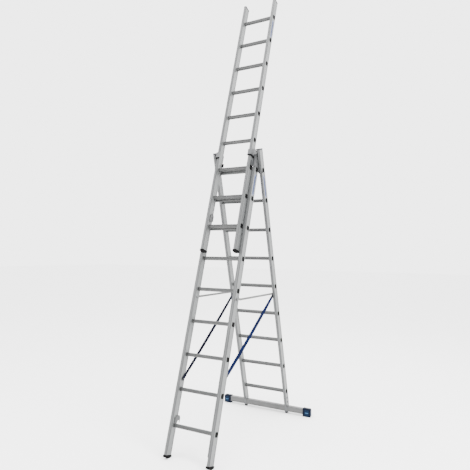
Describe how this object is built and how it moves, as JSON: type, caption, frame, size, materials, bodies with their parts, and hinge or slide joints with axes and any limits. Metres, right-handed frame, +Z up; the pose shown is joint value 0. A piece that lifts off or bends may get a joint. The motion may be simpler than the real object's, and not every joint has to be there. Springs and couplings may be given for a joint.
{
  "type": "combination ladder",
  "caption": "Free-standing combination ladder: A-frame of two hinged rung sections with a raised sliding extension, folding struts, straps and a wide foot bar.",
  "frame": {"origin": "centre of the bounding box's bottom face, on the floor", "axes": "+Z up, +X to the right of a person facing the climbing side, +Y from the front leg to the rear leg"},
  "size_m": [0.968, 1.5235, 4.2095],
  "materials": {
    "aluminium": "satin extruded",
    "rung_aluminium": "ribbed extruded, darker",
    "zinc_steel": "zinc plated",
    "black_plastic": "moulded, matte",
    "blue_plastic": "moulded, semi-gloss",
    "webbing": "woven strap"
  },
  "bodies": {
    "front_section": {"front_stile_left": "aluminium", "front_stile_right": "aluminium", "front_rung_1": "rung_aluminium", "front_rung_2": "rung_aluminium", "front_rung_3": "rung_aluminium", "front_rung_4": "rung_aluminium", "front_rung_5": "rung_aluminium", "front_rung_6": "rung_aluminium", "front_rung_7": "rung_aluminium", "front_rung_8": "rung_aluminium", "front_rung_9": "rung_aluminium", "front_foot_left": "black_plastic", "front_foot_right": "black_plastic", "front_top_cap_left": "black_plastic", "front_top_cap_right": "black_plastic", "guide_bracket_left": "zinc_steel", "guide_bracket_right": "zinc_steel", "hinge_plate_left": "zinc_steel", "hinge_plate_right": "zinc_steel", "front_hook_left": "zinc_steel", "front_hook_right": "zinc_steel", "strut_stud_left": "zinc_steel", "strut_stud_right": "zinc_steel", "spreader_strap_left": "webbing", "spreader_strap_right": "webbing"},
    "rear_section": {"rear_stile_left": "aluminium", "rear_stile_right": "aluminium", "rear_rung_1": "rung_aluminium", "rear_rung_2": "rung_aluminium", "rear_rung_3": "rung_aluminium", "rear_rung_4": "rung_aluminium", "rear_rung_5": "rung_aluminium", "rear_rung_6": "rung_aluminium", "rear_rung_7": "rung_aluminium", "rear_rung_8": "rung_aluminium", "rear_rung_9": "rung_aluminium", "hinge_bolt_left": "zinc_steel", "hinge_bolt_right": "zinc_steel", "traverse_bar": "aluminium", "traverse_shoe_left": "blue_plastic", "traverse_shoe_right": "blue_plastic"},
    "extension_section": {"extension_stile_left": "aluminium", "extension_stile_right": "aluminium", "extension_rung_1": "rung_aluminium", "extension_rung_2": "rung_aluminium", "extension_rung_3": "rung_aluminium", "extension_rung_4": "rung_aluminium", "extension_rung_5": "rung_aluminium", "extension_rung_6": "rung_aluminium", "extension_rung_7": "rung_aluminium", "extension_rung_8": "rung_aluminium", "extension_rung_9": "rung_aluminium", "extension_foot_left": "black_plastic", "extension_foot_right": "black_plastic", "extension_top_cap_left": "black_plastic", "extension_top_cap_right": "black_plastic", "extension_hook_left": "zinc_steel", "extension_hook_right": "zinc_steel"},
    "strut_left": {"spreader_strut_left": "aluminium"},
    "strut_right": {"spreader_strut_right": "aluminium"}
  },
  "joints": [
    {"name": "leg_fold", "type": "hinge", "parent": "front_section", "child": "rear_section", "pos_m": [0, 0.05554, 2.365], "axis": [1, 0, 0], "range_deg": [-32.6, 0], "deforming": ["spreader_strap_left", "spreader_strap_right"]},
    {"name": "extension_slide", "type": "slide", "parent": "front_section", "child": "extension_section", "axis": [0, 0.2924, 0.9563], "range_m": [-1.68, 0]},
    {"name": "strut_left_fold", "type": "hinge", "parent": "rear_section", "child": "strut_left", "pos_m": [-0.2145, 0.3771, 1.236], "axis": [1, 0, 0], "range_deg": [-72, 0]},
    {"name": "strut_right_fold", "type": "hinge", "parent": "rear_section", "child": "strut_right", "pos_m": [0.2145, 0.3771, 1.236], "axis": [1, 0, 0], "range_deg": [-72, 0]}
  ]
}
